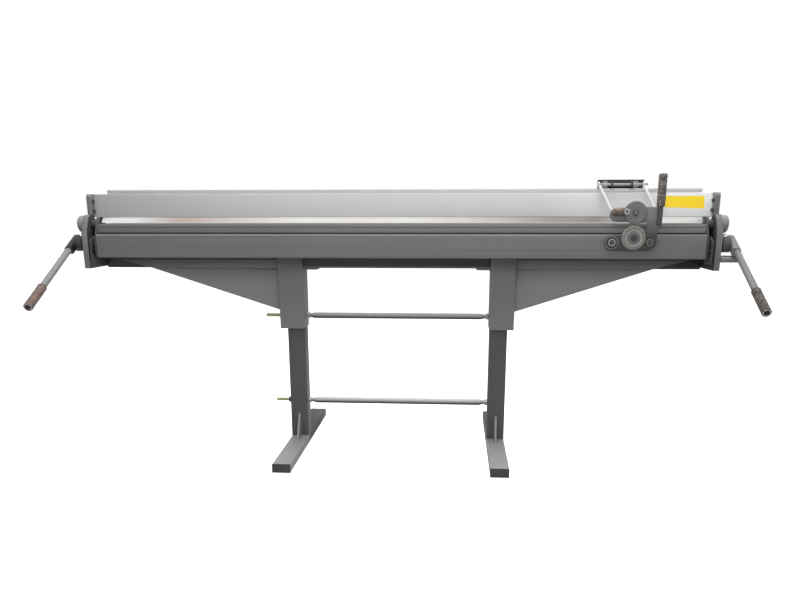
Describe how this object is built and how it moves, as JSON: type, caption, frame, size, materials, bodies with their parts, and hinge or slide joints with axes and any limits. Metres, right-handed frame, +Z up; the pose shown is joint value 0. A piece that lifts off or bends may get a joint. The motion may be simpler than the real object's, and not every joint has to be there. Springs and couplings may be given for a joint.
{
  "type": "sheet metal brake",
  "caption": "Floor-standing manual folding brake for thin sheet: hinged bending beam, lever-clamped upper beam and a sliding roller knife on its rail.",
  "frame": {"origin": "centre of the bounding box, on the floor", "axes": "+X to the operator's right along the bend line, +Y away from the operator, +Z up"},
  "size_m": [2.835, 1.0836, 1.219],
  "materials": {
    "grey_paint": "satin mid-grey machine paint",
    "light_paint": "satin light-grey machine paint",
    "bright_steel": "ground steel edge",
    "dark_steel": "blackened or dark painted steel",
    "bright_zinc": "bright zinc-plated steel",
    "yellow_zinc": "yellow-passivated zinc",
    "brown_grip": "mottled brown moulded grip",
    "black_plastic": "dark push-in tube caps"
  },
  "bodies": {
    "base": {"bed": "grey_paint", "left_end_plate": "grey_paint", "left_foot": "grey_paint", "left_foot_caps": "black_plastic", "left_gussets": "grey_paint", "left_leg_bracket": "grey_paint", "left_pivot_boss": "grey_paint", "left_post": "grey_paint", "left_web": "grey_paint", "lever_stop": "grey_paint", "lower_beam": "grey_paint", "lower_tie_rod": "bright_zinc", "lower_tie_studs": "yellow_zinc", "right_end_plate": "grey_paint", "right_foot": "grey_paint", "right_foot_caps": "black_plastic", "right_gussets": "grey_paint", "right_leg_bracket": "grey_paint", "right_pivot_boss": "grey_paint", "right_post": "grey_paint", "right_web": "grey_paint", "upper_tie_rod": "bright_zinc", "upper_tie_studs": "yellow_zinc"},
    "bending_beam": {"bending_blade": "grey_paint", "bending_tube": "grey_paint", "left_pivot_lug": "grey_paint", "right_pivot_lug": "grey_paint"},
    "clamping_beam": {"clamp_nose": "bright_steel", "clamp_box": "light_paint", "clamp_rail": "light_paint", "left_clamp_arm": "dark_steel", "right_clamp_arm": "dark_steel"},
    "left_lever": {"left_lever_hub": "dark_steel", "left_lever_plate": "dark_steel", "left_lever_tube": "bright_zinc", "left_lever_grip": "brown_grip"},
    "right_lever": {"right_lever_hub": "dark_steel", "right_lever_plate": "dark_steel", "right_lever_tube": "bright_zinc", "right_lever_grip": "brown_grip"},
    "carriage": {"knife_carriage": "dark_steel", "knife_hinge_rod": "bright_zinc", "knife_rail_rollers": "dark_steel"},
    "knife_head": {"knife_frame": "dark_steel", "knife_upper_axle": "dark_steel", "knife_lower_axle": "dark_steel", "knife_guide_rollers": "dark_steel", "knife_arms": "bright_zinc", "knife_handle_neck": "dark_steel", "knife_grip": "brown_grip", "knife_knob": "brown_grip"},
    "upper_disc": {"knife_upper_disc": "dark_steel"},
    "lower_disc": {"knife_lower_disc": "bright_steel"}
  },
  "joints": [
    {"name": "bend", "type": "hinge", "parent": "base", "child": "bending_beam", "pos_m": [0, -0.077, 1.022], "axis": [-1, 0, 0], "range_deg": [0, 135]},
    {"name": "clamp_lift", "type": "slide", "parent": "base", "child": "clamping_beam", "axis": [0, 0, 1], "range_m": [0, 0.031]},
    {"name": "left_lever_turn", "type": "hinge", "parent": "base", "child": "left_lever", "pos_m": [-1.382, -0.109, 0.941], "axis": [-1, 0, 0], "range_deg": [0, 115]},
    {"name": "right_lever_turn", "type": "hinge", "parent": "base", "child": "right_lever", "pos_m": [1.382, -0.109, 0.941], "axis": [-1, 0, 0], "range_deg": [0, 115]},
    {"name": "knife_slide", "type": "slide", "parent": "clamping_beam", "child": "carriage", "axis": [1, 0, 0], "range_m": [-2.1, 0.15]},
    {"name": "knife_tilt", "type": "hinge", "parent": "carriage", "child": "knife_head", "pos_m": [0.944, -0.037, 1.181], "axis": [-1, 0, 0], "range_deg": [0, 94.5]},
    {"name": "upper_disc_spin", "type": "hinge", "parent": "knife_head", "child": "upper_disc", "pos_m": [0.986, -0.1505, 1.0685], "axis": [0, 1, 0], "continuous": true},
    {"name": "lower_disc_spin", "type": "hinge", "parent": "knife_head", "child": "lower_disc", "pos_m": [0.986, -0.1505, 0.9685], "axis": [0, 1, 0], "continuous": true}
  ],
  "couplings": [
    {"joint": "left_lever_turn", "follows": "clamp_lift", "rad_per_m": 64.746},
    {"joint": "right_lever_turn", "follows": "clamp_lift", "rad_per_m": 64.746},
    {"joint": "knife_tilt", "follows": "bend", "ratio": 0.7}
  ]
}
